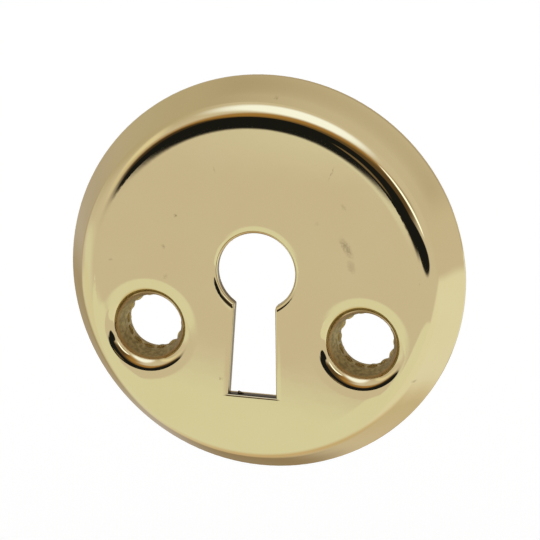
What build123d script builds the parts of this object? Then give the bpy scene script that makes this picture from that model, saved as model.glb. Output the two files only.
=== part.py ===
"""Round keyhole escutcheon for a door: a pressed brass cover plate, pierced for the key and for two screws.

Row frame: the plate hangs upright as on a door, +X to the right and +Z up seen from the front, the polished
face towards -Y, and the origin at the centre of the back plane that lies against the door. Millimetres.
"""

import math
import os

from build123d import *

os.makedirs("parts", exist_ok=True)

# The drawn cup: a flat face, a rounded shoulder and a sloping flank that widens to the rim.
plate_diameter = 50.0
plate_height = 6.5
sheet_thickness = 1.4
crown_diameter = 43.7  # circle where the flank's line would cross the face
shoulder_radius = 2.6
rim_land = 0.5  # short upright edge at the foot of the flank
rim_bevel = 0.15
inner_bevel = 0.6  # inside the shoulder, along both of its faces

# The keyhole: a round for the key's shank over a slot that widens downwards for its bit.
round_diameter = 9.75
round_height = 1.58  # above the plate's centre
round_lip = 0.6
slot_neck_width = 4.78  # at the level of the round's centre
slot_foot_width = 6.02
slot_length = 15.65  # from the round's centre to the slot's foot
slot_lip = 0.3

# The screw holes: a rolled-in mouth, a funnel and a plain collar, drawn back from the face.
hole_spacing = 26.9
hole_drop = 6.6  # below the plate's centre
collar_bore = 7.1
collar_top = 3.55  # heights are above the back plane
collar_end = 1.4
collar_wall = 1.1
funnel_half_angle = 18.0
mouth_radius = 1.56
mouth_angle = 5.0  # slope of the mouth where it leaves the face

# The ring of rounded teeth half way down each collar, which stops a sleeve nut from turning.
tooth_count = 14
tooth_radius = 1.12
tooth_reach = 0.3  # into the bore
tooth_band = 0.4

plate_radius = plate_diameter / 2
crown_radius = crown_diameter / 2
flank_angle = math.atan2(plate_height - rim_land, plate_radius - crown_radius)
inner_height = plate_height - sheet_thickness
inner_crown_radius = crown_radius - sheet_thickness * math.tan(flank_angle / 2)
flank_foot_radius = plate_radius + rim_land / math.tan(flank_angle)
rim_inner_radius = flank_foot_radius - sheet_thickness / math.sin(flank_angle)

collar_radius = collar_bore / 2
collar_outer_radius = collar_radius + collar_wall
funnel = math.radians(funnel_half_angle)
mouth_end = math.pi / 2 - funnel
mouth_half = mouth_end / 2
mouth_centre_height = plate_height - mouth_radius * math.cos(math.radians(mouth_angle))
funnel_top = mouth_centre_height + mouth_radius * math.cos(mouth_end)
funnel_top_radius = collar_radius + (funnel_top - collar_top) * math.tan(funnel)
mouth_centre_radius = funnel_top_radius + mouth_radius * math.sin(mouth_end)
mouth_half_radius = mouth_centre_radius - mouth_radius * math.sin(mouth_half)
mouth_half_height = mouth_centre_height + mouth_radius * math.cos(mouth_half)
mouth_crest = mouth_centre_height + mouth_radius
boss_root = plate_height - sheet_thickness / 2
boss_root_radius = collar_outer_radius + (boss_root - collar_top) * math.tan(funnel)
round_radius = round_diameter / 2
slot_foot = round_height - slot_length
pierce_plane = Plane.XZ.offset(inner_height - sheet_thickness)
pierce_depth = 3 * sheet_thickness
tooth_low = (collar_top + collar_end - tooth_band) / 2
tooth_circle = collar_radius - tooth_reach + tooth_radius

with BuildPart() as escutcheon_plate:
    # The cup turned about the plate's axis, one sheet thick throughout.
    with BuildSketch(Plane.XY) as cup:
        with BuildLine():
            Polyline(
                (0, -plate_height),
                (crown_radius, -plate_height),
                (plate_radius, -rim_land),
                (plate_radius, 0),
                (rim_inner_radius, 0),
                (inner_crown_radius, -inner_height),
                (0, -inner_height),
                close=True,
            )
        make_face()
        shoulder = cup.vertices().sort_by_distance((crown_radius, -plate_height))[0]
        fillet(shoulder, shoulder_radius)
        inner_shoulder = cup.vertices().sort_by_distance((inner_crown_radius, -inner_height))[0]
        chamfer(inner_shoulder, inner_bevel)
        rim_edges = cup.vertices().sort_by_distance((plate_radius, -rim_land / 2))[0:2]
        chamfer(rim_edges, rim_bevel)
    revolve(axis=Axis.Y)

    # Behind each screw hole the sheet runs back as a tapering boss that ends in the collar.
    for side in (-1, 1):
        hole_plane = Plane(origin=(side * hole_spacing / 2, 0, -hole_drop))
        with BuildSketch(hole_plane):
            with BuildLine():
                Polyline(
                    (0, -boss_root),
                    (boss_root_radius, -boss_root),
                    (collar_outer_radius, -collar_top),
                    (collar_outer_radius, -collar_end),
                    (0, -collar_end),
                    close=True,
                )
            make_face()
        revolve(axis=Axis(hole_plane.origin, (0, 1, 0)))

    # The screw holes themselves: mouth, funnel and collar in one turned cut.
    for side in (-1, 1):
        hole_plane = Plane(origin=(side * hole_spacing / 2, 0, -hole_drop))
        with BuildSketch(hole_plane):
            with BuildLine():
                ThreePointArc(
                    (mouth_centre_radius, -mouth_crest),
                    (mouth_half_radius, -mouth_half_height),
                    (funnel_top_radius, -funnel_top),
                )
                Polyline(
                    (funnel_top_radius, -funnel_top),
                    (collar_radius, -collar_top),
                    (collar_radius, 0),
                    (0, 0),
                    (0, -mouth_crest - sheet_thickness),
                    (mouth_centre_radius, -mouth_crest - sheet_thickness),
                    (mouth_centre_radius, -mouth_crest),
                )
            make_face()
        revolve(axis=Axis(hole_plane.origin, (0, 1, 0)), mode=Mode.SUBTRACT)

    # A ring of rounded teeth stands inside each collar, clear of both its ends.
    for side in (-1, 1):
        with BuildSketch(Plane.XZ.offset(tooth_low)):
            with Locations((side * hole_spacing / 2, -hole_drop)):
                with PolarLocations(tooth_circle, tooth_count):
                    Circle(tooth_radius)
                Circle(collar_radius + collar_wall / 2, mode=Mode.INTERSECT)
        extrude(amount=tooth_band)

    # The keyhole's round is pierced first, and its front edge is rolled over.
    with BuildSketch(pierce_plane):
        with Locations((0, round_height)):
            Circle(round_radius)
    extrude(amount=pierce_depth, mode=Mode.SUBTRACT)
    round_top = (0, -plate_height, round_height + round_radius)
    round_edge = escutcheon_plate.edges().filter_by(GeomType.CIRCLE).sort_by_distance(round_top)[0]
    fillet(round_edge, round_lip)

    # The slot runs down from the round and widens to its foot.
    with BuildSketch(pierce_plane):
        with BuildLine():
            Polyline(
                (-slot_neck_width / 2, round_height),
                (-slot_foot_width / 2, slot_foot),
                (slot_foot_width / 2, slot_foot),
                (slot_neck_width / 2, round_height),
                close=True,
            )
        make_face()
    extrude(amount=pierce_depth, mode=Mode.SUBTRACT)

    # Its front edge and the two neck corners, where it leaves the round, are rolled over in one run.
    slot_edges = []
    for edge in escutcheon_plate.edges():
        middle = edge.position_at(0.5)
        beside_slot = abs(middle.X) < slot_foot_width / 2 + slot_lip
        along_slot = slot_foot - slot_lip < middle.Z < round_height - round_radius / 2
        on_face = middle.Y < -(plate_height - slot_lip / 2)
        at_neck = middle.Y < -(inner_height + slot_lip / 4) and middle.Z > round_height - round_radius - round_lip
        if beside_slot and along_slot and (on_face or at_neck):
            slot_edges.append(edge)
    fillet(slot_edges, slot_lip)

escutcheon_plate.part.label = "escutcheon_plate"
export_step(escutcheon_plate.part, "parts/escutcheon_plate.step")
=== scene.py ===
import math

import bmesh
import bpy
import numpy as np
from mathutils import Matrix, Vector
from mathutils.geometry import delaunay_2d_cdt


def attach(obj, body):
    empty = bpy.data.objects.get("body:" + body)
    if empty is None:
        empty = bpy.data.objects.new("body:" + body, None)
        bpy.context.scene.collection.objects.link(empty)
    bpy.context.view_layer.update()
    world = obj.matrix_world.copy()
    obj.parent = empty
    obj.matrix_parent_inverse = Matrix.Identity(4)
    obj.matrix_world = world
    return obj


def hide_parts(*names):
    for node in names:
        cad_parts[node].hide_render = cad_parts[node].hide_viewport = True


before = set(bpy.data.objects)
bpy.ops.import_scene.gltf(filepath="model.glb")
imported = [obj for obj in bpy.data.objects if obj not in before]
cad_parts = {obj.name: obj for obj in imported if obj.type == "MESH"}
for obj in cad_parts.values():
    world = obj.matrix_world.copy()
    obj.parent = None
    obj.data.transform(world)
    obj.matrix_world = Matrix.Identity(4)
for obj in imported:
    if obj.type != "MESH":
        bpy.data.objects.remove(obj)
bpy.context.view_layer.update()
scene = bpy.context.scene

# The plate: one pressing of brass sheet, drawn to a shallow cup, pierced for the key and two screws, and buffed.
# Its form is the solid's own, with the flat face cut finer, so that it can fall where the buff has rounded it off.
# The rolled edges get the normals of their true bends, so that they mirror cleanly.
MM = 0.001
PLATE_NODE = "escutcheon_plate"
FACE_HEIGHT = 6.5
HOLE_ASIDE = 13.45
HOLE_DROP = 6.6
ROUND_HEIGHT = 1.58
SLOT_FOOT = -14.07
ROLLED_EDGES = [
    # middle across and up, radius and height of the bend's centre, radius of the bend,
    # then the lean that downward buffing gave it and how deep below the face that starts at the lower side
    (0, 0, 20.278, 3.9, 2.6, 0, 0),
    (0, ROUND_HEIGHT, 5.475, 5.9, 0.6, 0.42, 0),
    (-HOLE_ASIDE, -HOLE_DROP, 5.644, 4.946, 1.56, 0.25, 0.2),
    (HOLE_ASIDE, -HOLE_DROP, 5.644, 4.946, 1.56, 0.25, 0.2),
]
LEAN_RUN = 0.03  # depth over which a lean grows to its full size, at the top of an opening
LEAN_RUN_BELOW = 0.17  # and so much more at its lower side
FIT = 0.002  # within this a point counts as lying on a face

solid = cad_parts[PLATE_NODE].data
points = np.array([vertex.co[:] for vertex in solid.vertices])
faces = np.array([face.vertices[:] for face in solid.polygons])

# Small triangles on the flat face, wherever it falls and along its outline.
CUT = 0.2  # from one of their points to the next
CLEAR = 0.1  # from the outline to the nearest point
BORDER = 0.5  # how far they go on past a fall, and in from the outline
HOLE_FALL = (6.6, 4.2)  # from the opening's middle, where the fall starts and where it is deepest
HOLE_FALL_DEPTH = 0.06
ROUND_FALL = (6.3, 4.5)
ROUND_FALL_DEPTH = 0.05
SHOULDER_FALL = (19.35, 21.4)
SHOULDER_FALL_DEPTH = 0.055
WHOLE_HULL = 0  # the net is made over the openings too, and its triangles there are dropped
JOINED = 1e-6


def eased(value, start, end):
    """0 where the value is at start and 1 where it is at end, with a smooth run between."""
    share = np.clip((value - start) / (end - start), 0, 1)
    return share * share * (3 - 2 * share)


def buffed_off(places):
    """How far the buff has taken the front down at places across and up, in millimetres."""
    across, up = places[..., 0], places[..., 1]
    at_holes = eased(np.hypot(np.abs(across) - HOLE_ASIDE, up + HOLE_DROP), *HOLE_FALL)
    at_round = eased(np.hypot(across, up - ROUND_HEIGHT), *ROUND_FALL)
    at_shoulder = eased(np.hypot(across, up), *SHOULDER_FALL)
    return HOLE_FALL_DEPTH * at_holes + ROUND_FALL_DEPTH * at_round + SHOULDER_FALL_DEPTH * at_shoulder


on_face = (np.abs(points[:, 1] / MM + FACE_HEIGHT) < FIT)[faces].all(axis=1)
sides = np.sort(faces[on_face][:, [0, 1, 1, 2, 2, 0]].reshape(-1, 2), axis=1)
sides, uses = np.unique(sides, axis=0, return_counts=True)
outline_points, outline_sides = np.unique(sides[uses == 1], return_inverse=True)
outline = points[outline_points][:, [0, 2]] / MM
outline_sides = outline_sides.reshape(-1, 2)


def on_the_face(places):
    """Whether places lie inside the face's outline and outside its openings, by the sides to the right of them."""
    inside = np.zeros(len(places), bool)
    for start, end in outline[outline_sides]:
        beside = (start[1] > places[:, 1]) != (end[1] > places[:, 1])
        rise = end[1] - start[1] if end[1] != start[1] else 1
        crossing = start[0] + (places[:, 1] - start[1]) * (end[0] - start[0]) / rise
        inside ^= beside & (crossing > places[:, 0])
    return inside


def from_outline(places):
    """How far places lie from the nearest side of the face's outline."""
    nearest = np.full(len(places), np.inf)
    for start, end in outline[outline_sides]:
        side = end - start
        share = np.clip((places - start) @ side / (side @ side), 0, 1)
        nearest = np.minimum(nearest, np.linalg.norm(places - start - share[:, None] * side, axis=1))
    return nearest


steps = np.arange(outline.min(), outline.max(), CUT)
cuts = np.stack(np.meshgrid(steps, steps), axis=-1)
cuts[1::2, :, 0] += CUT / 2
cuts = cuts.reshape(-1, 2)
cuts = cuts[on_the_face(cuts)]
margin = from_outline(cuts)
around = cuts[:, None] + BORDER * np.array([(1, 0), (-1, 0), (0, 1), (0, -1)])
falling = (buffed_off(around) > 0).any(axis=1)
cuts = cuts[(margin > CLEAR) & (falling | (margin < BORDER))]
net_places = np.concatenate([outline, cuts])
net_input = [Vector(place) for place in net_places.tolist()]
_, _, net_faces, net_sources, _, _ = delaunay_2d_cdt(net_input, outline_sides.tolist(), [], WHOLE_HULL, JOINED)
net_faces = np.array([sources[0] for sources in net_sources])[np.array(net_faces)]
net_faces = net_faces[on_the_face(net_places[net_faces].mean(axis=1))]
net_numbers = np.concatenate([outline_points, len(points) + np.arange(len(cuts))])
cut_points = np.stack([cuts[:, 0], np.full(len(cuts), -FACE_HEIGHT), cuts[:, 1]], axis=1) * MM
faces = np.concatenate([faces[~on_face], net_numbers[net_faces]])
points = np.concatenate([points, cut_points])
kept, faces = np.unique(faces, return_inverse=True)
points, faces = points[kept], faces.reshape(-1, 3)

# A burr that the piercing tool left on the slot's foot, left of its middle.
BURR = [(-1.95, -14.1), (-1.05, -14.1), (-1.9, -13.78)]
BURR_HEIGHTS = (5.9, 5.6)
BURR_FACES = [(0, 1, 2), (3, 5, 4), (0, 3, 1), (1, 3, 4), (1, 4, 2), (2, 4, 5), (2, 5, 0), (0, 5, 3)]
burr = np.array([(burr_across, -burr_high, burr_up) for burr_high in BURR_HEIGHTS for burr_across, burr_up in BURR])
faces = np.concatenate([faces, np.array(BURR_FACES) + len(points)])
points = np.concatenate([points, burr * MM])

plate_mesh = bpy.data.meshes.new("brass_plate")
plate_mesh.from_pydata(points.tolist(), [], faces.tolist())
plate_mesh.shade_smooth()
plate = bpy.data.objects.new("brass_plate", plate_mesh)
scene.collection.objects.link(plate)

normals = np.array([corner.vector[:] for corner in plate_mesh.corner_normals]).reshape(faces.shape + (3,))
across, back, up = (points / MM).T
below_face = (-back)[faces].mean(axis=1) < FACE_HEIGHT - FIT
for middle_across, middle_up, ring_radius, ring_height, bend, lean, lean_start in ROLLED_EDGES:
    aside, above = across - middle_across, up - middle_up
    radius = np.hypot(aside, above)
    out, ahead = radius - ring_radius, -back - ring_height
    on_bend = np.abs(np.hypot(out, ahead) - bend) < FIT
    exact = np.stack([aside / radius * out, -ahead, above / radius * out], axis=1) / bend
    from_top = 1 - np.clip(above / radius, 0, 1)
    lean_run = LEAN_RUN + LEAN_RUN_BELOW * from_top
    leaning = np.clip((FACE_HEIGHT + back - lean_start * from_top) / lean_run, 0, 1)
    exact[:, 2] -= lean * leaning * np.abs(above) / radius
    exact /= np.linalg.norm(exact, axis=1, keepdims=True)
    rolled = on_bend[faces].all(axis=1) & below_face
    normals[rolled] = exact[faces[rolled]]

# The fall towards the holes, the round and the shoulder, in the points and in the normals.
STEP = 0.001
FRONT = (5.15, 5.6)  # points below the first height don't fall, and points above the second fall fully
places = np.stack([across, up], axis=1)
front = eased(-back, *FRONT)
fall_across = front * (buffed_off(places + (STEP, 0)) - buffed_off(places - (STEP, 0))) / (2 * STEP)
fall_up = front * (buffed_off(places + (0, STEP)) - buffed_off(places - (0, STEP))) / (2 * STEP)
points[:, 1] += front * buffed_off(places) * MM
plate_mesh.vertices.foreach_set("co", points.ravel())
plate_mesh.update()
normals[..., 0] -= normals[..., 1] * fall_across[faces]
normals[..., 2] -= normals[..., 1] * fall_up[faces]
normals /= np.linalg.norm(normals, axis=2, keepdims=True)
plate_mesh.normals_split_custom_set(normals.reshape(-1, 3).tolist())


def node(tree, kind, inputs=None, **settings):
    """A new shader node, with its settings made and its inputs linked to sockets or set to values."""
    new = tree.nodes.new("ShaderNode" + kind)
    for name, value in settings.items():
        setattr(new, name, value)
    for key, value in (inputs or {}).items():
        if isinstance(value, bpy.types.NodeSocket):
            tree.links.new(value, new.inputs[key])
        else:
            new.inputs[key].default_value = value
    return new


def maths(tree, operation, *values):
    """The result of one Math node."""
    return node(tree, "Math", dict(enumerate(values)), operation=operation).outputs[0]


def length(tree, a, b):
    """The length of a flat vector."""
    flat = node(tree, "CombineXYZ", {"X": a, "Y": b}).outputs[0]
    return node(tree, "VectorMath", {0: flat}, operation="LENGTH").outputs["Value"]


def fade(tree, value, start, end, low=0.0, high=1.0):
    """A smooth change from low where the value is at start to high where it is at end."""
    inputs = {"Value": value, "From Min": start, "From Max": end, "To Min": low, "To Max": high}
    return node(tree, "MapRange", inputs, interpolation_type="SMOOTHSTEP").outputs["Result"]


def blend(tree, share, first, second):
    """A mix of two colours, each a socket or a plain colour."""
    new = node(tree, "Mix", {"Factor": share}, data_type="RGBA")
    for socket, colour in ((new.inputs[6], first), (new.inputs[7], second)):
        if isinstance(colour, bpy.types.NodeSocket):
            tree.links.new(colour, socket)
        else:
            socket.default_value = (*colour, 1)
    return new.outputs[2]


def noise(tree, place, scale, detail=2.0, stretch=(1, 1, 1)):
    """Noise from 0 to 1 with so many waves in a millimetre."""
    stretched = node(tree, "VectorMath", {0: place, 1: stretch}, operation="MULTIPLY").outputs["Vector"]
    return node(tree, "TexNoise", {"Vector": stretched, "Scale": scale, "Detail": detail}).outputs[0]


brass = bpy.data.materials.new("polished_brass")
brass.use_nodes = True
tree = brass.node_tree
brass_shader = tree.nodes["Principled BSDF"]
brass_shader.inputs["Metallic"].default_value = 1.0

# Places on the plate in millimetres: the height over its back, and the ways from its axis, holes, round and slot.
SLOT_HALF_WIDTH = 2.453  # at the level of the plate's centre
SLOT_FLARE = 0.0396  # wider on each side for each millimetre down
place = node(tree, "TexCoord").outputs["Object"]
place = node(tree, "VectorMath", {0: place, "Scale": 1 / MM}, operation="SCALE").outputs["Vector"]
axes = node(tree, "SeparateXYZ", {0: place}).outputs
high = maths(tree, "MULTIPLY", axes["Y"], -1)
aside = maths(tree, "ABSOLUTE", axes["X"])
from_axis = length(tree, axes["X"], axes["Z"])
from_hole = length(tree, maths(tree, "SUBTRACT", aside, HOLE_ASIDE), maths(tree, "ADD", axes["Z"], HOLE_DROP))
from_round = length(tree, axes["X"], maths(tree, "SUBTRACT", axes["Z"], ROUND_HEIGHT))
slot_half = maths(tree, "MULTIPLY_ADD", axes["Z"], -SLOT_FLARE, SLOT_HALF_WIDTH)
beside_slot = maths(tree, "SUBTRACT", aside, slot_half)
beside_slot = maths(tree, "MAXIMUM", beside_slot, maths(tree, "SUBTRACT", axes["Z"], ROUND_HEIGHT))
below_slot = maths(tree, "SUBTRACT", SLOT_FOOT, axes["Z"])

# Where the buffing wheel didn't reach: the bores of the screw holes, the cut walls of the keyhole and the back. The
# keyhole's part also reaches up onto its buffed lip, where it carries painted shade.
BORE = (4.4, 4.2)  # from a hole's middle, where the bore's dull skin starts and where it is full
MOUTH_RADIUS = 5.7
BOSS_INSIDE = 4.3
# How far up the keyhole's painted shade reaches: onto the lip at the round, further at the slot, nearly to the face
# at the foot.
ROUND_EDGE = (5.3, 5.6)
ROUND_WALL_TOP = 5.95
SLOT_WALL_TOP = 6.25
FOOT_WALL_TOP = 6.45
KEYHOLE_REACH = 16
SHEET_BACK = 5.15
FLANK_INSIDE = 24.3  # from the axis to the flank's inner side, at the level of the back
FLANK_LEAN = 0.525  # inwards for each millimetre up
RIM_EDGE = 0.1

in_bore = fade(tree, from_hole, *BORE)
at_foot = fade(tree, below_slot, -0.1, 0)
wall_top = fade(tree, from_round, *ROUND_EDGE, ROUND_WALL_TOP, SLOT_WALL_TOP)
wall_top = maths(tree, "MAXIMUM", wall_top, maths(tree, "MULTIPLY", at_foot, FOOT_WALL_TOP))
in_keyhole = fade(tree, maths(tree, "SUBTRACT", high, wall_top), 0.05, -0.1)
in_keyhole = maths(tree, "MULTIPLY", in_keyhole, maths(tree, "LESS_THAN", from_axis, KEYHOLE_REACH))
in_keyhole = maths(tree, "MULTIPLY", in_keyhole, maths(tree, "GREATER_THAN", from_hole, MOUTH_RADIUS))
inside_flank = maths(tree, "LESS_THAN", maths(tree, "MULTIPLY_ADD", high, FLANK_LEAN, from_axis), FLANK_INSIDE)
on_back = maths(tree, "MULTIPLY", inside_flank, maths(tree, "LESS_THAN", high, SHEET_BACK))
on_back = maths(tree, "MULTIPLY", on_back, maths(tree, "GREATER_THAN", from_hole, BOSS_INSIDE))
on_back = maths(tree, "MAXIMUM", on_back, maths(tree, "LESS_THAN", high, RIM_EDGE))

# Marks of handling on the front: small pits and stains, a curved scratch and a rubbed patch right of the keyhole.
MARKS = [
    # across, up, half length, half width, turn, depth of tone
    (-10.15, 8.0, 0.28, 0.22, 20, 0.45),
    (-11.6, 3.97, 0.34, 0.2, -50, 0.4),
    (-11.3, 0.2, 0.4, 0.25, 60, 0.2),
    (-18.3, 1.75, 0.3, 0.2, 0, 0.25),
    (1.5, 23.0, 0.25, 0.2, 0, 0.35),
    (19.9, -10.7, 0.3, 0.2, 30, 0.5),
    (-4.0, -12.2, 0.3, 0.22, 0, 0.35),
    (9.1, 14.75, 0.95, 0.12, 69, 0.34),
    (11.2, 5.7, 1.5, 0.5, -58, 0.45),
    (11.9, 3.4, 0.9, 0.5, -70, 0.3),
    (10.7, 10.7, 0.5, 0.25, -50, 0.22),
    (7.5, 8.4, 0.35, 0.3, 40, 0.15),
    (-5.4, 14.1, 0.5, 0.12, -60, 0.18),
]
THROUGH = 1000  # a mark's half depth, so that it doesn't fade with the height
MIDDLE = (0.5, 0.5, 0.5)
RAGGED = (0.5, 0.5, 0.5)  # how far the noise pulls a mark's edge about, in millimetres
ragged = node(tree, "TexNoise", {"Vector": place, "Scale": 2.5, "Detail": 3.0}).outputs["Color"]
ragged = node(tree, "VectorMath", {0: ragged, 1: MIDDLE}, operation="SUBTRACT").outputs["Vector"]
ragged = node(tree, "VectorMath", {0: ragged, 1: RAGGED, 2: place}, operation="MULTIPLY_ADD").outputs["Vector"]
marked = None
for mark_across, mark_up, half_length, half_width, turn, tone in MARKS:
    spot = node(tree, "Mapping", {
        "Vector": ragged,
        "Location": (mark_across, 0, mark_up),
        "Rotation": (0, -math.radians(turn), 0),
        "Scale": (half_length, THROUGH, half_width),
    }, vector_type="TEXTURE").outputs[0]
    away = node(tree, "VectorMath", {0: spot}, operation="LENGTH").outputs["Value"]
    shade = fade(tree, away, 1.3, 0.2, 0, tone)
    marked = shade if marked is None else maths(tree, "MAXIMUM", marked, shade)

# Colours: brass that varies a little, browner marks, a dull back, bores with an amber ring at their mouth, the
# keyhole's walls and lip painted dark as shade with a painted highlight at the foot's back edge, and painted light on
# the teeth.
BRASS = (0.745, 0.63, 0.335)
PALER_BRASS = (0.775, 0.67, 0.375)
STAIN = (0.16, 0.10, 0.05)
SHADED_FOOT_WALL = (0.045, 0.032, 0.016)
FOOT_BACK_EDGE_HIGHLIGHT = (0.75, 0.62, 0.33)
SHADED_CUT_WALL = (0.2, 0.155, 0.075)
DULL_BACK = (0.5, 0.38, 0.17)
PALER_BACK = (0.66, 0.53, 0.28)
DULL_BORE = (0.29, 0.22, 0.085)
PALER_BORE = (0.5, 0.4, 0.17)
BORE_EDGE = (0.52, 0.33, 0.11)
TOOTH_PAINTED_LIGHT = (0.85, 0.68, 0.3)
TOOTH_HEIGHT = 2.675

cloudy = noise(tree, place, 0.12, 4)
mottle = noise(tree, place, 2.2, 5)
grain = noise(tree, place, 6, 4)
patchy = fade(tree, mottle, 0.3, 0.7)
marked = maths(tree, "MULTIPLY", marked, fade(tree, grain, 0.38, 0.6, 0.25, 1))
colour = blend(tree, cloudy, BRASS, PALER_BRASS)
colour = blend(tree, marked, colour, STAIN)
# Painted shade at the slot's foot: its cut wall and the lip above it are near black, and a band of pale brass along
# the wall's back edge is a painted highlight.
wall_shade_and_highlight = blend(tree, fade(tree, high, 5.5, 5.35), SHADED_FOOT_WALL, FOOT_BACK_EDGE_HIGHLIGHT)
# Painted shade: the rest of the keyhole's cut walls, and the lip above them, are dark brown.
wall_shade_and_highlight = blend(tree, at_foot, SHADED_CUT_WALL, wall_shade_and_highlight)
colour = blend(tree, in_keyhole, colour, wall_shade_and_highlight)
colour = blend(tree, on_back, colour, blend(tree, mottle, DULL_BACK, PALER_BACK))
bore_colour = blend(tree, patchy, DULL_BORE, PALER_BORE)
bore_colour = blend(tree, fade(tree, from_hole, 4.0, 4.15), bore_colour, BORE_EDGE)
# Painted light: faces at the teeth's height are painted pale brass, lighter than the bore, to hide the shade between
# the teeth.
bore_colour = blend(tree, maths(tree, "COMPARE", high, TOOTH_HEIGHT, 0.02), bore_colour, TOOTH_PAINTED_LIGHT)
colour = blend(tree, in_bore, colour, bore_colour)
tree.links.new(colour, brass_shader.inputs["Base Color"])

# Roughness: a mirror polish on the front, and duller where it is marked, cut or out of the buff's reach.
rough = fade(tree, cloudy, 0.3, 0.75, 0.025, 0.05)
rough = maths(tree, "MAXIMUM", rough, maths(tree, "MULTIPLY", marked, 0.5))
rough = maths(tree, "MAXIMUM", rough, maths(tree, "MULTIPLY", in_keyhole, 0.3))
rough = maths(tree, "MAXIMUM", rough, maths(tree, "MULTIPLY", on_back, fade(tree, mottle, 0.3, 0.7, 0.28, 0.42)))
rough = maths(tree, "MAXIMUM", rough, maths(tree, "MULTIPLY", in_bore, 0.5))
tree.links.new(rough, brass_shader.inputs["Roughness"])

# Relief in millimetres: faint falls to the slot and the rim, the buff's waves and fine lines, and coarser dull parts.
SLOT_FALL_DEPTH = 0.02
RIM_FALL_DEPTH = 0.09
BUFF_WAVES = 0.0012
BUFF_LINES = 0.0001
BUFF_LINE_STRETCH = (0.4, 1, 2.5)
BORE_GRAIN = 0.015
BACK_GRAIN = 0.006

side_fall = fade(tree, beside_slot, 0.75, -0.25, 0, -SLOT_FALL_DEPTH)
foot_fall = fade(tree, below_slot, 0.3, 0, 0, -SLOT_FALL_DEPTH)
rim_fall = fade(tree, from_axis, 23.2, 25.2, 0, -RIM_FALL_DEPTH)
relief = maths(tree, "ADD", maths(tree, "MAXIMUM", side_fall, foot_fall), rim_fall)
relief = maths(tree, "MULTIPLY_ADD", noise(tree, place, 0.5, 2), BUFF_WAVES, relief)
relief = maths(tree, "MULTIPLY_ADD", noise(tree, place, 3, 2, BUFF_LINE_STRETCH), BUFF_LINES, relief)
bore_grain = maths(tree, "MULTIPLY", maths(tree, "ADD", mottle, grain), BORE_GRAIN)
relief = maths(tree, "MULTIPLY_ADD", bore_grain, in_bore, relief)
relief = maths(tree, "MULTIPLY_ADD", maths(tree, "MULTIPLY", mottle, BACK_GRAIN), on_back, relief)
bump = node(tree, "Bump", {"Height": relief, "Distance": MM}).outputs[0]
tree.links.new(bump, brass_shader.inputs["Normal"])
plate_mesh.materials.append(brass)

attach(plate, "root")
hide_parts(PLATE_NODE)

# The floor: a plain white table some way below the plate, which is held up as it would be on a door.
# It shows white to the eye and keeps the plate's soft shadow.
FLOOR_HEIGHT = -0.06
FLOOR_REACH = 4.0

floor_mesh = bpy.data.meshes.new("floor")
corners = [(x * FLOOR_REACH, y * FLOOR_REACH, FLOOR_HEIGHT) for x, y in ((-1, -1), (1, -1), (1, 1), (-1, 1))]
floor_mesh.from_pydata(corners, [], [(0, 1, 2, 3)])
floor = bpy.data.objects.new("floor", floor_mesh)
scene.collection.objects.link(floor)
floor.visible_glossy = False


def white_to_the_eye(tree):
    """1 where a ray comes from the camera, a mirror or glass, and 0 for the light that falls on things."""
    path = node(tree, "LightPath").outputs
    seen = maths(tree, "MAXIMUM", path["Is Camera Ray"], path["Is Glossy Ray"])
    return maths(tree, "MAXIMUM", seen, path["Is Transmission Ray"])


table = bpy.data.materials.new("white_table")
table.use_nodes = True
table_shader = table.node_tree.nodes["Principled BSDF"]
table_shader.inputs["Base Color"].default_value = (0.9, 0.9, 0.9, 1)
table_shader.inputs["Roughness"].default_value = 0.9
table_shader.inputs["Emission Color"].default_value = (1, 1, 1, 1)
glow = maths(table.node_tree, "MULTIPLY", white_to_the_eye(table.node_tree), 0.2)
table.node_tree.links.new(glow, table_shader.inputs["Emission Strength"])
floor_mesh.materials.append(table)

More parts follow.
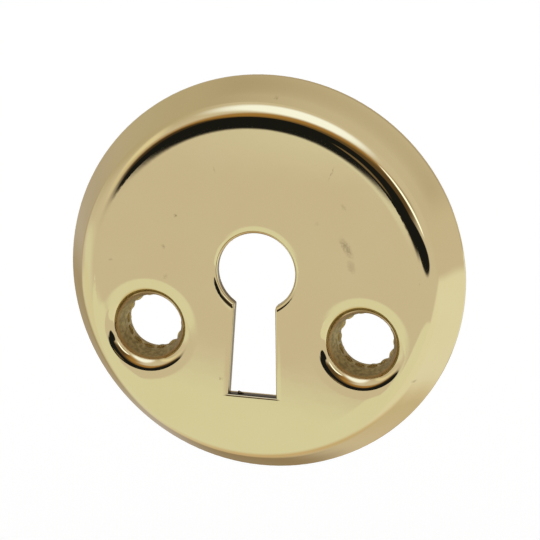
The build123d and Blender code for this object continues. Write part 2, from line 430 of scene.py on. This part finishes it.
# The light tent: cloth all round the plate, brightest overhead, with a dark gap where the camera looks in.
# Only the brass sees it. Each patch is placed by its angles to the right of and above the plate's own axis.
TENT_RADIUS = 5.0
TENT_COLOUR = (0.54, 0.48, 0.42)
TENT_PATCHES = [
    # right, up, half width, half height, turn, softness, colour; each lies over those before it
    # the cloth in front, and at the left
    (0, 0, 112, 112, 0, 0.06, (0.75, 0.705, 0.71)),
    (-105, 65, 52, 52, 0, 0.5, (0.58, 0.53, 0.46)),
    (-56, 26, 8, 22, 20, 0.6, (0.92, 0.88, 0.78)),
    (-70, -14, 30, 9, -8, 0.5, (0.84, 0.87, 0.85)),
    # the table in front, and the cloth at the right
    (-70, -62, 45, 44, 0, 0.1, (0.84, 0.85, 0.79)),
    (25, -70, 75, 46, 0, 0.02, (0.88, 0.92, 0.88)),
    (118, 8, 20, 36, 0, 0.5, (0.73, 0.68, 0.66)),
    (100, -66, 70, 46, 19, 0.1, (0.92, 0.94, 0.93)),
    (-22, -66.5, 50, 50, 0, 0.012, (0.86, 0.91, 0.87)),
    # the ground under and behind the plate
    (-118, -88, 34, 40, 0, 0.45, (0.42, 0.34, 0.22)),
    (0, -106, 62, 22, 0, 0.6, (0.72, 0.57, 0.42)),
    (-45, -138, 52, 24, 0, 0.5, (0.33, 0.25, 0.15)),
    (45, -128, 55, 24, 0, 0.5, (0.69, 0.61, 0.49)),
    # the lamp overhead, brown and dark cloth under it, and a bright slit at the right
    (3, 68, 43, 22, 0, 0.35, (1.22, 1.38, 1.9)),
    (3, 24, 50, 20, 10, 0.3, (0.42, 0.24, 0.08)),
    (12, 15, 48, 17, 15, 0.35, (0.13, 0.085, 0.045)),
    (51.5, 26, 19, 4.5, -49, 0.15, (1.5, 1.65, 2.0)),
    # the dark gap, with a pale hem below, a shadow at the left and a brown middle
    (-9, -11.6, 5, 1.1, 0, 0.6, (0.83, 0.85, 0.86)),
    (-28, 10, 15, 14, 0, 0.3, (0.07, 0.045, 0.025)),
    (0, 6.5, 34, 16.2, 0, 0.09, (0.012, 0.013, 0.015)),
    (-12, 1.3, 23, 12, 0, 0.09, (0.012, 0.013, 0.015)),
    (36, 0, 26, 9, 0, 0.1, (0.012, 0.013, 0.015)),
    (0, 0, 4.2, 4.2, 0, 0.25, (0.2, 0.15, 0.1)),
]

tent_form = bmesh.new()
bmesh.ops.create_icosphere(tent_form, subdivisions=5, radius=TENT_RADIUS)
tent_mesh = bpy.data.meshes.new("light_tent")
tent_form.to_mesh(tent_mesh)
tent_form.free()
tent = bpy.data.objects.new("light_tent", tent_mesh)
scene.collection.objects.link(tent)
tent.visible_camera = False
tent.visible_diffuse = False
tent.visible_transmission = False
tent.visible_shadow = False

cloth = bpy.data.materials.new("tent_cloth")
cloth.use_nodes = True
cloth_tree = cloth.node_tree
cloth_tree.nodes.clear()
way = node(cloth_tree, "TexCoord").outputs["Object"]
way = node(cloth_tree, "VectorMath", {0: way}, operation="NORMALIZE").outputs["Vector"]
parts = node(cloth_tree, "SeparateXYZ", {0: way}).outputs
tilt = maths(cloth_tree, "ARCCOSINE", maths(cloth_tree, "MULTIPLY", parts["Y"], -1))
spread = maths(cloth_tree, "DIVIDE", maths(cloth_tree, "DEGREES", tilt), length(cloth_tree, parts["X"], parts["Z"]))
angles = node(cloth_tree, "CombineXYZ", {
    "X": maths(cloth_tree, "MULTIPLY", parts["X"], spread),
    "Y": maths(cloth_tree, "MULTIPLY", parts["Z"], spread),
}).outputs[0]
light = TENT_COLOUR
for right, above, half_width, half_height, turn, softness, patch_colour in TENT_PATCHES:
    patch = node(cloth_tree, "Mapping", {
        "Vector": angles,
        "Location": (right, above, 0),
        "Rotation": (0, 0, math.radians(turn)),
        "Scale": (half_width, half_height, 1),
    }, vector_type="TEXTURE").outputs[0]
    away = node(cloth_tree, "VectorMath", {0: patch}, operation="LENGTH").outputs["Value"]
    light = blend(cloth_tree, fade(cloth_tree, away, 1 + softness, 1 - softness), light, patch_colour)
cloth_glow = node(cloth_tree, "Emission", {"Color": light})
node(cloth_tree, "OutputMaterial", {"Surface": cloth_glow.outputs[0]})
tent_mesh.materials.append(cloth)

# The room: soft white light from all round, and one broad lamp overhead for the shadow on the table.
world = bpy.data.worlds.new("studio")
scene.world = world
world.use_nodes = True
background = world.node_tree.nodes["Background"]
background.inputs["Color"].default_value = (1, 1, 1, 1)
room = fade(world.node_tree, white_to_the_eye(world.node_tree), 0, 1, 0.6, 1.0)
world.node_tree.links.new(room, background.inputs["Strength"])

lamp_data = bpy.data.lights.new("overhead_lamp", "SUN")
lamp_data.energy = 0.9
lamp_data.angle = math.radians(25)
lamp = bpy.data.objects.new("overhead_lamp", lamp_data)
lamp.rotation_euler = Vector((-0.15, 0.25, -1)).to_track_quat("-Z", "Y").to_euler()
lamp.visible_glossy = False
scene.collection.objects.link(lamp)

# The camera: as the photograph was taken, from the right and above, with the picture turned a little.
PICTURE = 540
CAMERA_AZIMUTH = math.radians(12.779)
CAMERA_ELEVATION = math.radians(14.943)
CAMERA_ROLL = math.radians(1.554)
CAMERA_DISTANCE = 0.350
CAMERA_ASIDE = 0.378 * MM
CAMERA_RAISED = 0.337 * MM
PIXELS_PER_MM = 8.06

camera_data = bpy.data.cameras.new("camera")
camera_data.sensor_width = 36
camera_data.lens = camera_data.sensor_width * PIXELS_PER_MM / MM * CAMERA_DISTANCE / PICTURE
camera_data.clip_start = 0.01
camera = bpy.data.objects.new("camera", camera_data)
scene.collection.objects.link(camera)
towards = Vector((
    math.sin(CAMERA_AZIMUTH) * math.cos(CAMERA_ELEVATION),
    -math.cos(CAMERA_AZIMUTH) * math.cos(CAMERA_ELEVATION),
    math.sin(CAMERA_ELEVATION),
))
turned = towards.to_track_quat("Z", "Y").to_matrix() @ Matrix.Rotation(CAMERA_ROLL, 3, "Z")
camera.matrix_world = turned.to_4x4()
camera.location = towards * CAMERA_DISTANCE + turned.col[0] * CAMERA_ASIDE + turned.col[1] * CAMERA_RAISED
scene.camera = camera

scene.view_settings.view_transform = "Standard"
